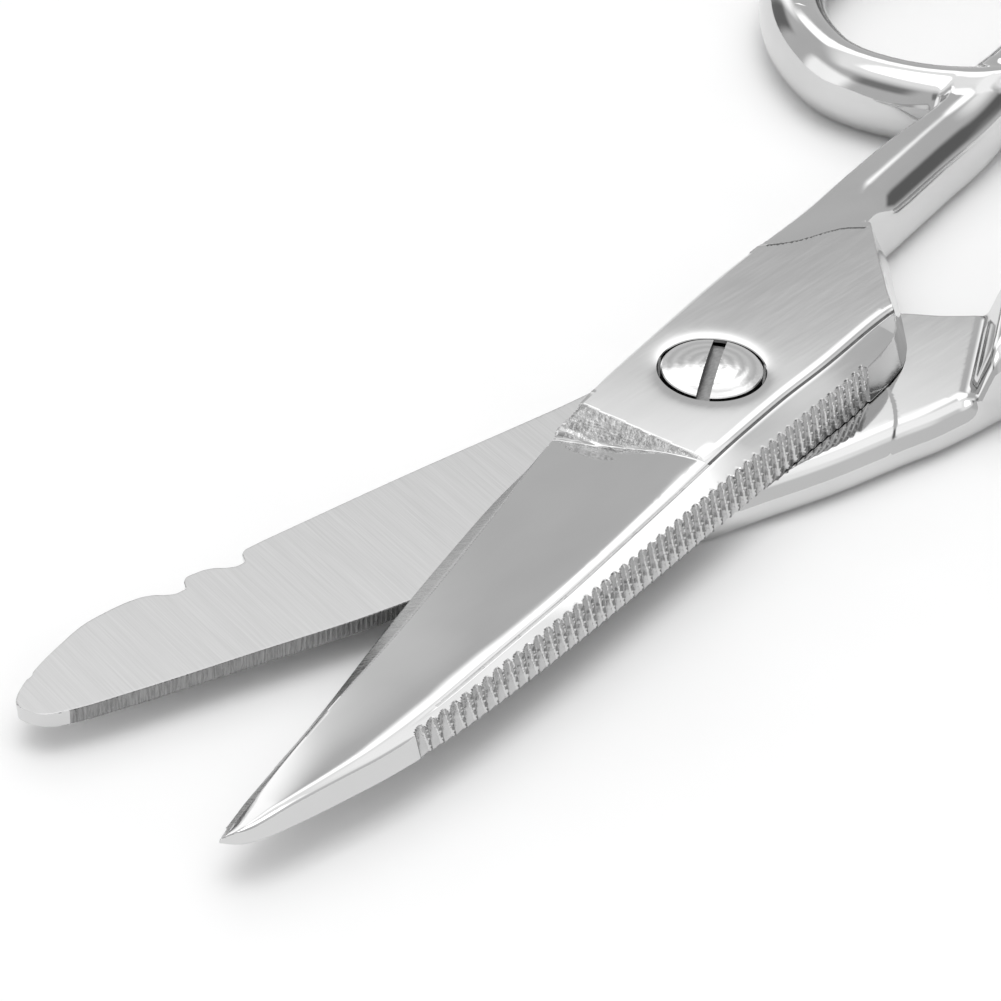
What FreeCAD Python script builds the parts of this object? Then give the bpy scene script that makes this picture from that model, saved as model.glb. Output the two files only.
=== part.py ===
import FreeCAD, Part

import math
import os

import Sketcher

# Ring-handled steel snips in two forged halves that turn about one slotted pivot screw.
# Origin: on the pivot axis, at the plane that the snips lie on. +Y runs to the blade tips, +Z is up.
# Each half is drawn in its own frame as it lies with the blades shut, then turned by half the opening.

Vector = FreeCAD.Vector
Z_AXIS = Vector(0, 0, 1)

doc = FreeCAD.newDocument("RingSnips")

# ---------------------------------------------------------------- driving dimensions (mm, degrees)

DIMENSIONS = [
    ("plate_thick", 3.2, "thickness of each half where they ride on each other"),
    ("face_gap", 0.06, "running gap between the two riding faces"),
    ("half_opening", 9.0, "angle of each blade from the middle of the jaw"),
    ("tip_reach", 56.4, "pivot axis to blade tip"),
    ("edge_heel", 10.3, "pivot axis to the inner end of the cutting edge"),
    ("edge_wall", 1.0, "height of the steep wall at the cutting edge"),
    ("ridge_offset", 5.2, "pivot line to the ridge that the blade face slopes from"),
    ("blade_fall", 2.1, "how far the outer face falls from heel to tip"),
    ("joint_end", 15.0, "pivot axis to the back of the flat joint face, outer side"),
    ("shank_inner", 0.6, "middle line to the near side of the straight shank"),
    ("shank_outer", 5.85, "middle line to the far side of the straight shank"),
    ("shank_end", 54.0, "pivot axis to the end of the straight shank"),
    ("shank_round", 1.6, "rounding of the long edges of the shanks"),
    ("bow_width", 5.4, "width of the finger bow's section"),
    ("bow_line", 3.3, "middle line to the inner strand of a bow"),
    ("bow_top", 43.86, "pivot axis to the near end of a bow's centre line"),
    ("bow_bottom", 76.8, "pivot axis to the far end of a bow's centre line"),
    ("bow_side", 26.0, "middle line to the outer strand's centre line"),
    ("bow_side_reach", 61.1, "pivot axis to the widest place of a bow"),
    ("bow_peak", 12.8, "middle line to the near end of a bow's centre line"),
    ("bow_peak_radius", 14.2, "radius of the bow where it leaves the shank"),
    ("bow_shoulder_radius", 7.5, "radius between the bow's near end and its outer side"),
    ("recess_radius", 3.8, "counterbores for the screw head and for the nut"),
    ("head_recess", 1.75, "depth of the counterbore for the screw head"),
    ("nut_recess", 1.55, "depth of the counterbore for the lock nut"),
    ("head_radius", 3.6, "screw head"),
    ("head_rise", 0.1, "how far the rim of the head stands above the joint face"),
    ("head_crown", 0.35, "height of the head's dome above its rim"),
    ("slot_width", 0.95, "screwdriver slot"),
    ("slot_depth", 0.95, "screwdriver slot below the rim of the head"),
    ("slot_angle", 120.0, "direction of the screwdriver slot from +X"),
    ("pivot_radius", 2.5, "plain bearing length of the screw"),
    ("pivot_play", 0.05, "radial running clearance on the screw"),
    ("thread_radius", 2.0, "threaded end of the screw"),
    ("washer_thick", 0.3, "spring washer under the head"),
    ("washer_radius", 3.5, "spring washer under the head"),
    ("washer_lift", 0.03, "clearance under the spring washer"),
    ("nut_thick", 1.5, "lock nut"),
    ("nut_flats", 6.0, "width across the flats of the lock nut"),
]

sheet = doc.addObject("Spreadsheet::Sheet", "Dimensions")
size = {}
for row, (alias, value, meaning) in enumerate(DIMENSIONS, start=1):
    sheet.set(f"A{row}", meaning)
    sheet.set(f"B{row}", str(value))
    sheet.setAlias(f"B{row}", alias)
    size[alias] = value
doc.recompute()

top_face = 2 * size["plate_thick"] + size["face_gap"]
upper_ride = size["plate_thick"] + size["face_gap"]
TOP = "2 * Dimensions.plate_thick + Dimensions.face_gap"
UPPER_RIDE = "Dimensions.plate_thick + Dimensions.face_gap"


# ---------------------------------------------------------------- helpers

def new_body(name):
    body = doc.addObject("PartDesign::Body", name)
    body.Label = name
    return body


def new_sketch(body, name, role="XY_Plane", height="0"):
    """A sketch on one of the body's own origin planes, lifted by an expression along its normal."""
    plane = next(feature for feature in body.Origin.OriginFeatures if feature.Role == role)
    sketch = body.newObject("Sketcher::SketchObject", name)
    sketch.AttachmentSupport = [(plane, "")]
    sketch.MapMode = "FlatFace"
    sketch.setExpression("AttachmentOffset.Base.z", height)
    return sketch


def flat(point):
    return Vector(point[0], point[1], 0)


def draw(sketch, start, steps, closed=True):
    """Draw lines (an end point) and arcs (a point on the way and an end point) one after another.

    A closed outline that stops short of its start is closed with a line.
    """
    steps = list(steps)
    last = steps[-1][-1] if isinstance(steps[-1][0], tuple) else steps[-1]
    if closed and (flat(last) - flat(start)).Length > 0.001:
        steps.append(start)
    ends = [flat(start)]
    for step in steps:
        if isinstance(step[0], tuple):
            middle, end = flat(step[0]), flat(step[1])
            sketch.addGeometry(Part.Arc(ends[-1], middle, end))
        else:
            end = flat(step)
            sketch.addGeometry(Part.LineSegment(ends[-1], end))
        ends.append(end)

    def vertex_at(index, place):
        gaps = [(sketch.getPoint(index, which) - place).Length for which in (1, 2)]
        return 1 if gaps[0] < gaps[1] else 2

    count = len(steps)
    for index in range(count if closed else count - 1):
        following = (index + 1) % count
        place = ends[index + 1]
        sketch.addConstraint(Sketcher.Constraint(
            "Coincident", index, vertex_at(index, place), following, vertex_at(following, place)))


def draw_circle(sketch, radius):
    sketch.addGeometry(Part.Circle(Vector(0, 0, 0), Z_AXIS, 1.0))
    sketch.addConstraint(Sketcher.Constraint("Coincident", 0, 3, -1, 1))
    sketch.addConstraint(Sketcher.Constraint("Radius", 0, 1.0))
    sketch.renameConstraint(1, "size")
    sketch.setExpression("Constraints.size", radius)


def pad(body, name, sketch, length):
    feature = body.newObject("PartDesign::Pad", name)
    feature.Profile = sketch
    feature.setExpression("Length", length)
    return feature


def pocket(body, name, sketch, length, reverse=False):
    """Cut below the sketch plane, or above it when reversed, and make sure that it did cut."""
    before = body.Tip
    doc.recompute()
    volume = before.Shape.Volume
    feature = body.newObject("PartDesign::Pocket", name)
    feature.Profile = sketch
    feature.Reversed = reverse
    feature.setExpression("Length", length)
    doc.recompute()
    if feature.Shape.Volume > volume - 0.01:
        raise RuntimeError(f"{name} cuts nothing")
    return feature


def round_long_edges(body, name, base, radius, shortest):
    """Round the level edges of a shank that run along it."""
    doc.recompute()
    edges = []
    for number, edge in enumerate(base.Shape.Edges, start=1):
        first, last = edge.Vertexes[0].Point, edge.Vertexes[-1].Point
        if abs(first.z - last.z) < 0.01 and abs(first.y - last.y) > shortest:
            edges.append(f"Edge{number}")
    feature = body.newObject("PartDesign::Fillet", name)
    feature.Base = (base, edges)
    feature.setExpression("Radius", radius)
    return feature


def on_circle(centre, radius, degrees):
    angle = math.radians(degrees)
    return (centre[0] + radius * math.cos(angle), centre[1] + radius * math.sin(angle))


def bow_path(side):
    """Centre line of a finger bow: four tangent arcs after a straight inner strand.

    side is +1 for a bow right of the middle line and -1 for its mirror image.
    """
    line = size["bow_line"]
    peak = (size["bow_peak"], -size["bow_top"])
    leaving = (peak[0], peak[1] - size["bow_peak_radius"])
    shoulder_radius = size["bow_shoulder_radius"]
    shoulder = (peak[0], peak[1] - shoulder_radius)
    # outer side: a circle through the widest place that the shoulder's circle touches from inside
    across = size["bow_side"] - shoulder[0]
    along = shoulder[1] + size["bow_side_reach"]
    outer_radius = (across ** 2 + along ** 2 - shoulder_radius ** 2) / (2 * (across - shoulder_radius))
    outer = (size["bow_side"] - outer_radius, -size["bow_side_reach"])
    # far end: a circle that touches the inner strand, the outer side and the bow's far limit
    shift_x = line - outer[0]
    shift_y = -size["bow_bottom"] - outer[1]
    half_b = shift_x + shift_y + outer_radius
    far_radius = -half_b + math.sqrt(half_b ** 2 - shift_x ** 2 - shift_y ** 2 + outer_radius ** 2)
    far = (line + far_radius, -size["bow_bottom"] + far_radius)
    far_angle = math.degrees(math.atan2(far[1] - outer[1], far[0] - outer[0]))
    near_angle = math.degrees(math.atan2(shoulder[1] - outer[1], shoulder[0] - outer[0]))
    inside_angle = 132.0

    def mirrored(point):
        return (side * point[0], point[1])

    def arc(centre, radius, first, last):
        middle = on_circle(centre, radius, (first + last) / 2)
        return (mirrored(middle), mirrored(on_circle(centre, radius, last)))

    start = mirrored((line, -size["shank_end"] + 1.5))
    steps = [
        mirrored((line, far[1])),
        arc(far, far_radius, 180, 360 + far_angle),
        arc(outer, outer_radius, far_angle, near_angle),
        arc(shoulder, shoulder_radius, near_angle, 90),
        arc(leaving, size["bow_peak_radius"], 90, inside_angle),
    ]
    return start, steps


def add_bow(body, side):
    """Sweep the bow's oval section along its centre line."""
    start, steps = bow_path(side)
    path = new_sketch(body, f"{body.Name}_bow_path", height=f"({TOP}) / 2")
    draw(path, start, steps, closed=False)
    section = new_sketch(body, f"{body.Name}_bow_section", "XZ_Plane", f"{-start[1]}")
    tall, half_width = top_face / 2, size["bow_width"] / 2
    section.addGeometry(Part.Ellipse(Vector(start[0], 2 * tall, 0),
                                     Vector(start[0] + half_width, tall, 0),
                                     Vector(start[0], tall, 0)))
    doc.recompute()
    bow = body.newObject("PartDesign::AdditivePipe", f"{body.Name}_bow")
    bow.Profile = section
    bow.Spine = (path, [f"Edge{number + 1}" for number in range(len(steps))])
    return bow


# ---------------------------------------------------------------- upper half

def blade_outer_face(body, side, ridge_height, edge_height, upward):
    """Slope the blade's outer face down from the ridge to the cutting edge, and thin it to the tip."""
    name = body.Name
    ridge = -side * size["ridge_offset"]
    beyond = side * 12.0
    clear = 8.0 if upward else -8.0
    slope = (edge_height - ridge_height) / 11.5
    far_height = ridge_height + slope * (size["ridge_offset"] + 12.0)
    face = new_sketch(body, f"{name}_face_profile", "XZ_Plane", "-Dimensions.edge_heel")
    draw(face, (ridge, ridge_height), [(beyond, far_height), (beyond, ridge_height + clear),
                                       (ridge, ridge_height + clear)])
    pocket(body, f"{name}_face", face, "60")
    tip = size["tip_reach"] + 1.0
    fall = -size["blade_fall"] if upward else size["blade_fall"]
    thinning = new_sketch(body, f"{name}_thinning_profile", "YZ_Plane", "-20")
    draw(thinning, (size["edge_heel"], ridge_height),
         [((size["tip_reach"] * 0.7, ridge_height + 0.36 * fall), (tip, ridge_height + fall)),
          (tip, ridge_height + clear), (size["edge_heel"], ridge_height + clear)])
    pocket(body, f"{name}_thinning", thinning, "40", reverse=True)


upper = new_body("upper_half")

shank_top = size["joint_end"]
upper_shank = new_sketch(upper, "upper_half_shank_outline")
draw(upper_shank, (size["shank_outer"], -shank_top),
     [(size["shank_outer"], -size["shank_end"]), (size["shank_inner"], -size["shank_end"]),
      (size["shank_inner"], -shank_top - 6.8)])
upper_shank_pad = pad(upper, "upper_half_shank", upper_shank, TOP)
round_long_edges(upper, "upper_half_shank_rounding", upper_shank_pad, "Dimensions.shank_round", 20)

upper_plate = new_sketch(upper, "upper_half_plate_outline", height=UPPER_RIDE)
upper_tip = (1.0, size["tip_reach"])
draw(upper_plate, upper_tip,
     [((-4.9, 43.3), (-6.6, 31.0)), ((-7.75, 14.5), (-9.0, -7.0)),
      ((-8.8, -12.0), (-6.6, -16.3)), (-1.85, -22.7), (size["shank_inner"], -26.0),
      (size["shank_outer"], -26.0), (size["shank_outer"], 8.8), (6.3, size["edge_heel"]),
      ((4.3, 32.7), upper_tip)])
pad(upper, "upper_half_plate", upper_plate, "Dimensions.plate_thick")
blade_outer_face(upper, 1, top_face, upper_ride + size["edge_wall"], upward=True)

head_recess = new_sketch(upper, "upper_half_recess_circle", height=TOP)
draw_circle(head_recess, "Dimensions.recess_radius")
pocket(upper, "upper_half_head_recess", head_recess, "Dimensions.head_recess")
upper_bore = new_sketch(upper, "upper_half_bore_circle", height=TOP)
draw_circle(upper_bore, "Dimensions.pivot_radius + Dimensions.pivot_play")
pocket(upper, "upper_half_bore", upper_bore, "2 * Dimensions.plate_thick")
add_bow(upper, 1)

# ---------------------------------------------------------------- lower half

lower = new_body("lower_half")

lower_shank = new_sketch(lower, "lower_half_shank_outline")
draw(lower_shank, (-10.9, -15.0),
     [((-10.9, -26.0), (-8.6, -44.0)), (-size["shank_outer"], -51.0),
      (-size["shank_outer"], -size["shank_end"]), (-size["shank_inner"], -size["shank_end"]),
      (-size["shank_inner"], -48.0), ((-2.6, -36.0), (-3.0, -24.2))])
lower_shank_pad = pad(lower, "lower_half_shank", lower_shank, TOP)
round_long_edges(lower, "lower_half_shank_rounding", lower_shank_pad, "Dimensions.shank_round", 20)

lower_plate = new_sketch(lower, "lower_half_plate_outline")
notch_deep = 4.85
lower_round_end = (3.3, 54.4)
draw(lower_plate, (-0.4, 55.6),
     [((-3.2, 41.5), (-6.3, size["edge_heel"])), (-9.0, 8.0),
      ((-10.8, -3.6), (-11.25, -16.0)), (-10.6, -27.0), (-3.0, -27.0), (-3.0, -24.2),
      (-1.6, -21.6), (0.45, -19.3), (5.6, -12.6), ((6.7, -10.5), (6.9, -8.0)),
      (6.4, 9.0), (6.1, 35.9),
      ((notch_deep, 36.9), (5.75, 38.5)), (5.9, 40.2),
      ((notch_deep, 41.7), (5.7, 43.4)), (6.05, 45.4),
      ((5.3, 50.3), lower_round_end), ((1.5, 56.35), (-0.4, 55.6))])
pad(lower, "lower_half_plate", lower_plate, "Dimensions.plate_thick")
blade_outer_face(lower, -1, 0.0, size["plate_thick"] - size["edge_wall"], upward=False)

nut_recess = new_sketch(lower, "lower_half_recess_circle", height="Dimensions.nut_recess")
draw_circle(nut_recess, "Dimensions.recess_radius")
pocket(lower, "lower_half_nut_recess", nut_recess, "Dimensions.nut_recess")
lower_bore = new_sketch(lower, "lower_half_bore_circle", height="Dimensions.plate_thick")
draw_circle(lower_bore, "Dimensions.thread_radius")
pocket(lower, "lower_half_bore", lower_bore, "Dimensions.plate_thick")
add_bow(lower, -1)

# ---------------------------------------------------------------- pivot screw

screw = new_body("pivot_screw")
rim = top_face + size["head_rise"]
under_head = top_face - size["head_recess"] + size["washer_lift"] + size["washer_thick"]
crown_half = size["head_radius"] / 2
screw_profile = new_sketch(screw, "pivot_screw_profile", "XZ_Plane")
draw(screw_profile, (0, 0),
     [(size["thread_radius"], 0), (size["thread_radius"], size["plate_thick"]),
      (size["pivot_radius"], size["plate_thick"]), (size["pivot_radius"], under_head),
      (size["head_radius"], under_head), (size["head_radius"], rim),
      ((crown_half, rim + 0.75 * size["head_crown"]), (0, rim + size["head_crown"]))])
turned = screw.newObject("PartDesign::Revolution", "pivot_screw_turned")
turned.Profile = screw_profile
turned.ReferenceAxis = (screw_profile, ["V_Axis"])
turned.Angle = 360
slot = new_sketch(screw, "pivot_screw_slot", height=f"{TOP} + Dimensions.head_rise + 1")
slot_half = size["slot_width"] / 2
slot_reach = size["head_radius"] + 1
turn = math.radians(size["slot_angle"])
slot_corners = []
for along, across in ((-1, -1), (1, -1), (1, 1), (-1, 1)):
    slot_x = along * slot_reach * math.cos(turn) - across * slot_half * math.sin(turn)
    slot_y = along * slot_reach * math.sin(turn) + across * slot_half * math.cos(turn)
    slot_corners.append((slot_x, slot_y))
draw(slot, slot_corners[0], slot_corners[1:])
pocket(screw, "pivot_screw_driver_slot", slot, "1 + Dimensions.slot_depth")

# ---------------------------------------------------------------- spring washer and lock nut

washer = new_body("spring_washer")
washer_height = f"{TOP} - Dimensions.head_recess + Dimensions.washer_lift"
washer_disc = new_sketch(washer, "spring_washer_circle", height=washer_height)
draw_circle(washer_disc, "Dimensions.washer_radius")
pad(washer, "spring_washer_disc", washer_disc, "Dimensions.washer_thick")
washer_hole = new_sketch(washer, "spring_washer_hole_circle",
                         height=f"{washer_height} + Dimensions.washer_thick")
draw_circle(washer_hole, "Dimensions.pivot_radius")
pocket(washer, "spring_washer_hole", washer_hole, "Dimensions.washer_thick")

nut = new_body("lock_nut")
nut_corner = size["nut_flats"] / math.sqrt(3)
nut_corners = [on_circle((0, 0), nut_corner, 60 * number) for number in range(6)]
nut_outline = new_sketch(nut, "lock_nut_outline")
draw(nut_outline, nut_corners[0], nut_corners[1:])
pad(nut, "lock_nut_block", nut_outline, "Dimensions.nut_thick")
nut_hole = new_sketch(nut, "lock_nut_hole_circle", height="Dimensions.nut_thick")
draw_circle(nut_hole, "Dimensions.thread_radius")
pocket(nut, "lock_nut_hole", nut_hole, "Dimensions.nut_thick")

# ---------------------------------------------------------------- place, check and write

upper.Placement = FreeCAD.Placement(Vector(0, 0, 0), FreeCAD.Rotation(Z_AXIS, size["half_opening"]))
lower.Placement = FreeCAD.Placement(Vector(0, 0, 0), FreeCAD.Rotation(Z_AXIS, -size["half_opening"]))
doc.recompute()

for item in doc.Objects:
    if "Invalid" in item.State or "Error" in item.State:
        raise RuntimeError(f"{item.Name} failed: {item.State}")

bodies = [upper, lower, screw, washer, nut]
for body in bodies:
    shape = body.Shape
    if shape.isNull() or not shape.isValid() or len(shape.Solids) != 1:
        raise RuntimeError(f"{body.Label} is not one valid solid")

os.makedirs("parts", exist_ok=True)
for body in bodies:
    body.Shape.exportStep(f"parts/{body.Label}.step")
    box = body.Shape.BoundBox
    print(f"{body.Label:14s} {body.Shape.Volume:9.1f} mm3  x {box.XMin:.2f}..{box.XMax:.2f}"
          f"  y {box.YMin:.2f}..{box.YMax:.2f}  z {box.ZMin:.2f}..{box.ZMax:.2f}")
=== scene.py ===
"""Electrician's scissors: two polished forgings, a slotted pivot screw, a washer and a nut.

Each forging is written as one smooth signed-distance field in its own closed frame, in
millimetres, and meshed on a grid whose columns follow the edges of the forging. In that frame
the screw's axis is z, the blade points along +y and the bow lies along -y. The piece is then
turned by half of the opening and scaled to metres.
"""
import math

import bmesh
import bpy
import numpy as np
from mathutils import Matrix, Vector


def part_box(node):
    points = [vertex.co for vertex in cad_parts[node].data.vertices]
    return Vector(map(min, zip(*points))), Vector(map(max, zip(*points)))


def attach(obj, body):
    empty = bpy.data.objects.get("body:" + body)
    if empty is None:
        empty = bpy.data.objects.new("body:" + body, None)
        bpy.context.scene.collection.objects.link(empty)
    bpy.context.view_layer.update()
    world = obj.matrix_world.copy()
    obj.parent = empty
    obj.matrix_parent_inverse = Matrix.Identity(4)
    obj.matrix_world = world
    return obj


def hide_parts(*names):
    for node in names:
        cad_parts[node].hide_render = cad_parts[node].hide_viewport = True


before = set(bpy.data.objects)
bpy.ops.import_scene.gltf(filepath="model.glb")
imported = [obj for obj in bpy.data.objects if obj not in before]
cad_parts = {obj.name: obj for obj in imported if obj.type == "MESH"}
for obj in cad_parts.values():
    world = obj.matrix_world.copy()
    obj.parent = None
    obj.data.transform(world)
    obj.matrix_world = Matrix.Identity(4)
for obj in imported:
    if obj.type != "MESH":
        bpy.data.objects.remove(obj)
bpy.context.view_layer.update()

MM = 0.001
HALF_OPENING = math.radians(9.0)      # each half is turned this far from shut at rest

# -------- heights, in mm
LOWER_FACE = 3.20                    # inner face of the lower half
UPPER_FACE = 3.26                    # inner face of the upper half
UPPER_TOP = 6.46                     # joint flat of the upper half
LOWER_TOP = 6.40                     # top of the lower handle
BOW_MID = 3.23                       # mid height of both finger bows

# -------- holes on the axis, in mm
RECESS_RADIUS = 3.80                 # of the screw's recess and the nut's
HEAD_RECESS = 1.75                   # depth below the joint flat
NUT_RECESS = 1.55                    # depth from the underside
BORE_RADIUS = 2.55                   # clearance bore of the upper half
THREAD_RADIUS = 2.02                 # hole in the lower half
RIM_CHAMFER = 0.16                   # how much wider a recess is at its mouth
RIM_CHAMFER_DEPTH = 0.10
CUTTER_OVER = 0.06                   # how far a cutter stands past the face that it opens
BORE_SIDES = 144


# -------- small field helpers
def curve(points, step=0.02):
    """A smooth line through (along, across) points that never overshoots them, as a function."""
    pts = np.array(sorted(points), float)
    t, v = pts[:, 0], pts[:, 1]
    d = np.diff(v) / np.diff(t)
    m = np.zeros_like(v)
    h = np.diff(t)
    for i in range(1, len(v) - 1):
        if d[i - 1] * d[i] > 0:
            w1, w2 = 2 * h[i] + h[i - 1], h[i] + 2 * h[i - 1]
            m[i] = (w1 + w2) / (w1 / d[i - 1] + w2 / d[i])
    m[0], m[-1] = d[0], d[-1]
    fine = np.arange(t[0], t[-1] + step, step)
    k = np.clip(np.searchsorted(t, fine) - 1, 0, len(h) - 1)
    s = (fine - t[k]) / h[k]
    table = ((1 + 2 * s) * (1 - s) ** 2 * v[k] + s * (1 - s) ** 2 * h[k] * m[k]
             + s * s * (3 - 2 * s) * v[k + 1] + s * s * (s - 1) * h[k] * m[k + 1])

    def at(y):
        out = np.interp(y, fine, table)
        out = out + np.minimum(np.asarray(y) - fine[0], 0) * m[0]
        return out + np.maximum(np.asarray(y) - fine[-1], 0) * m[-1]
    return at


def slope(line, y, step=0.05):
    """How fast a curve moves across at y."""
    return (line(y + step) - line(y - step)) / (2 * step)


def smax(a, b, k):
    """The larger of two fields, rounded where they meet: an intersection."""
    return np.maximum(a, b) + np.maximum(k - np.abs(a - b), 0) ** 2 / (4 * k)


def smin(a, b, k):
    """The smaller of two fields, filleted where they meet: a union."""
    return np.minimum(a, b) - np.maximum(k - np.abs(a - b), 0) ** 2 / (4 * k)


def ramp(t, low, high):
    """Goes smoothly from 0 at low to 1 at high."""
    s = np.clip((t - low) / (high - low), 0, 1)
    return s * s * (3 - 2 * s)


def half_plane(x, y, p, q):
    """Signed distance from the line through p and q, positive on the left of the way from p to q."""
    length = math.hypot(q[0] - p[0], q[1] - p[1])
    nx, ny = -(q[1] - p[1]) / length, (q[0] - p[0]) / length
    return (x - p[0]) * nx + (y - p[1]) * ny


def ripple(x, y, z, seed):
    """A fixed sum of sines that stands for the uneven bottom of a ground or cast recess."""
    total = 0
    for i in range(6):
        a, b, c = (math.sin(seed * 12.9 + i * 7.3 + j * 3.1) * (2.1 + 0.9 * i) for j in range(3))
        total = total + np.sin(a * x + b * y + c * z + i * 1.7) / (1.5 + 0.55 * i)
    return total


# -------- finger bow
BOW_RADII = (2.70, 3.23)              # half width and half height of the oval section
BOW_GAP = 0.12                        # each bow stays this far from the middle when shut
BOW_TOP = 41.0                        # the bow reaches no nearer to the screw than this
BAR_END = 58.0                        # and the bar no further from it
BOW_STRAND = ((3.3, -50.0), (3.3, -66.41))
BOW_ARCS = (                          # centre, radius, first angle, last angle
    ((13.69, -66.41), 10.39, 180.0, 320.1),
    ((7.33, -61.1), 18.67, -39.9, 60.7),
    ((12.8, -51.36), 7.5, 60.7, 90.0),
    ((12.8, -58.06), 14.2, 90.0, 138.0),
)


def oval_bar(across, z):
    """Signed distance to an oval bar, from how far a point is across from the bar's middle line."""
    u, v = across / BOW_RADII[0], (z - BOW_MID) / BOW_RADII[1]
    k0 = np.sqrt(u * u + v * v)
    k1 = np.sqrt((u / BOW_RADII[0]) ** 2 + (v / BOW_RADII[1]) ** 2) + 1e-9
    return k0 * (k0 - 1) / k1


def bow(x, y, z):
    """Signed distance to the bow of the upper half: an oval bar along a line and four arcs."""
    (ax, ay), (_, by) = BOW_STRAND
    t = np.clip((y - ay) / (by - ay), 0, 1)
    best = np.hypot(x - ax, y - (ay + t * (by - ay)))
    for (cx, cy), radius, first, last in BOW_ARCS:
        mid, reach = math.radians((first + last) / 2), math.radians((last - first) / 2)
        angle = np.arctan2(y - cy, x - cx) - mid
        angle = np.clip((angle + np.pi) % (2 * np.pi) - np.pi, -reach, reach) + mid
        best = np.minimum(best, np.hypot(x - cx - radius * np.cos(angle),
                                         y - cy - radius * np.sin(angle)))
    return oval_bar(best, z)


def bow_bar(x, z):
    """The straight bar that the shank turns into, in line with the bow's strand."""
    return oval_bar(x - BOW_STRAND[0][0], z)


def bow_fillet(x, y):
    """The fillet between bar and bow: on the outer side only, and none where the two are the same oval."""
    return 0.02 + 1.08 * (1 - ramp(-y, 43, 50)) * ramp(x, 1.0, 3.3)


def past_middle(x, y):
    """Keeps the two bows a hair apart when the snips are shut."""
    return x + BOW_GAP - 30.0 * ramp(y, -42, -36)


def bow_end(x, y, z):
    """The bow, cut off where the shank takes over."""
    return smax(bow(x, y, z), y + BOW_TOP, 0.5)


# -------- blade faces
CROWN = 1.6                           # how far from the ridge a blade face takes to turn down
HEEL_Y, HEEL_SKEW = 8.72, 0.058       # where the heel step starts at x 5.5, and how much it is askew
HEEL_SLOPE = 1.25


def crowned(across, reach, drop):
    """Fall of a blade face, across from its ridge, that has dropped by drop at reach."""
    rate = drop / (np.sqrt(reach ** 2 + CROWN ** 2) - CROWN)
    return rate * (np.sqrt(across ** 2 + CROWN ** 2) - CROWN)


def heel_front(x):
    """How far along the blade the heel step starts."""
    return HEEL_Y + (5.5 - x) * HEEL_SKEW


# -------- upper half
FLUTE_PITCH = 1.018
FLUTES = 49
FLUTE_FIRST = -7.0
FLUTE_LAST = FLUTE_FIRST + FLUTES * FLUTE_PITCH
ROWS_PER_FLUTE = 9
FLUTE_DEEPEST = 8 / 9                 # each flute is a shallow scoop with one steep side

U_EDGE = curve([(-16, 5.70), (-8, 5.95), (5, 5.86), (8.7, 5.62), (9.5, 5.95), (10.4, 6.30),
                (16.3, 6.16), (24.8, 5.35), (32.7, 4.3), (44.8, 2.4), (52, 1.62), (56.4, 1.1)])
U_OUT = curve([(-60, 5.95), (-50, 5.9), (-42, 5.0), (-34, 5.57), (-26, 5.7), (-15, 5.67), (-8, 5.9),
               (9, 5.9)])
U_SPINE = curve([(-60, 0.58), (-27, 0.58), (-25.6, 0.45), (-22.7, -1.85), (-19.6, -4.1), (-16.3, -6.6),
                 (-13.6, -8.3), (-11.8, -8.78), (-9, -8.98), (-5.2, -8.97), (-1.25, -8.69),
                 (2.75, -8.43), (6.7, -8.2), (10.8, -7.96), (14.8, -7.73), (18.9, -7.49), (22.9, -7.23),
                 (26.9, -6.95), (30.95, -6.61), (34.9, -6.22), (38.9, -5.74), (42.7, -5.05),
                 (45.4, -4.45), (48.3, -3.62), (51.6, -2.58), (54.1, -1.66), (55.5, -0.86), (56.3, 0.3),
                 (56.6, 1.2)])
U_LEAN = curve([(-24, 0.62), (-16, 0.58), (-11, 0.24), (-5, 0.17), (25, 0.2), (40, 0.26), (56, 0.27)])
U_WALL = curve([(-14, 2.80), (-5, 2.80), (10, 2.70), (25, 2.45), (34, 2.1), (40, 1.85), (45, 1.70),
                (50, 1.62), (52.5, 1.5), (54.8, 1.12), (56.5, 0.8)])
U_RIDGE = curve([(-22, -10.5), (-17, -7.9), (-13.6, -6.5), (-5, -6.0), (0.4, -5.58), (4.2, -5.44),
                 (10, -5.3), (18, -5.12), (25.4, -5.0), (32.5, -4.6), (39.4, -4.05), (45, -3.35),
                 (48.5, -2.65), (52, -1.8), (54.7, -0.95), (56.5, 0.1)])
U_RIDGE_Z = curve([(-24, 6.44), (6, 6.44), (9.5, 6.34), (14, 6.16), (18, 6.06), (25, 5.95),
                   (32.5, 5.72), (39.4, 5.35), (45, 5.12), (50, 4.98), (52.5, 4.8), (54.8, 4.42),
                   (56.5, 4.1)])
U_BEVEL = curve([(9, 6.25), (10.4, 6.1), (12.8, 5.78), (16, 5.3), (19.4, 4.75), (24, 4.1), (29.7, 3.3),
                 (36.9, 2.45), (41.7, 2.05), (46.5, 1.55), (51.2, 1.0), (54.2, 0.66), (56.5, 0.45)])
U_BEVEL_Z = curve([(9, 4.3), (20, 4.25), (45, 4.1), (52, 3.9), (56.5, 3.62)])
U_CREASE = curve([(-2.0, -25.0), (0.0, -22.3), (1.5, -21.0), (3.6, -17.3), (5.67, -15.0), (8, -12.6)])
SHANK_SHOULDER = ((5.85, -14.8), (0.6, -21.6))
GROOVE_DEPTH, GROOVE_WIDTH, GROOVE_BACK = 0.05, 0.10, 0.20   # the fine line beside the ridge
RIM_DROP, RIM_REACH = 0.045, 0.38     # how far buffing has rounded the rim of the recess


def upper_blade(x, y):
    """Height of the blade face before the heel step is taken off."""
    ridge, ridge_z = U_RIDGE(y), U_RIDGE_Z(y)
    reach = np.maximum(U_BEVEL(y) - ridge, 0.4)
    return ridge_z - crowned(np.maximum(x - ridge, 0), reach, ridge_z - U_BEVEL_Z(y))


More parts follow.
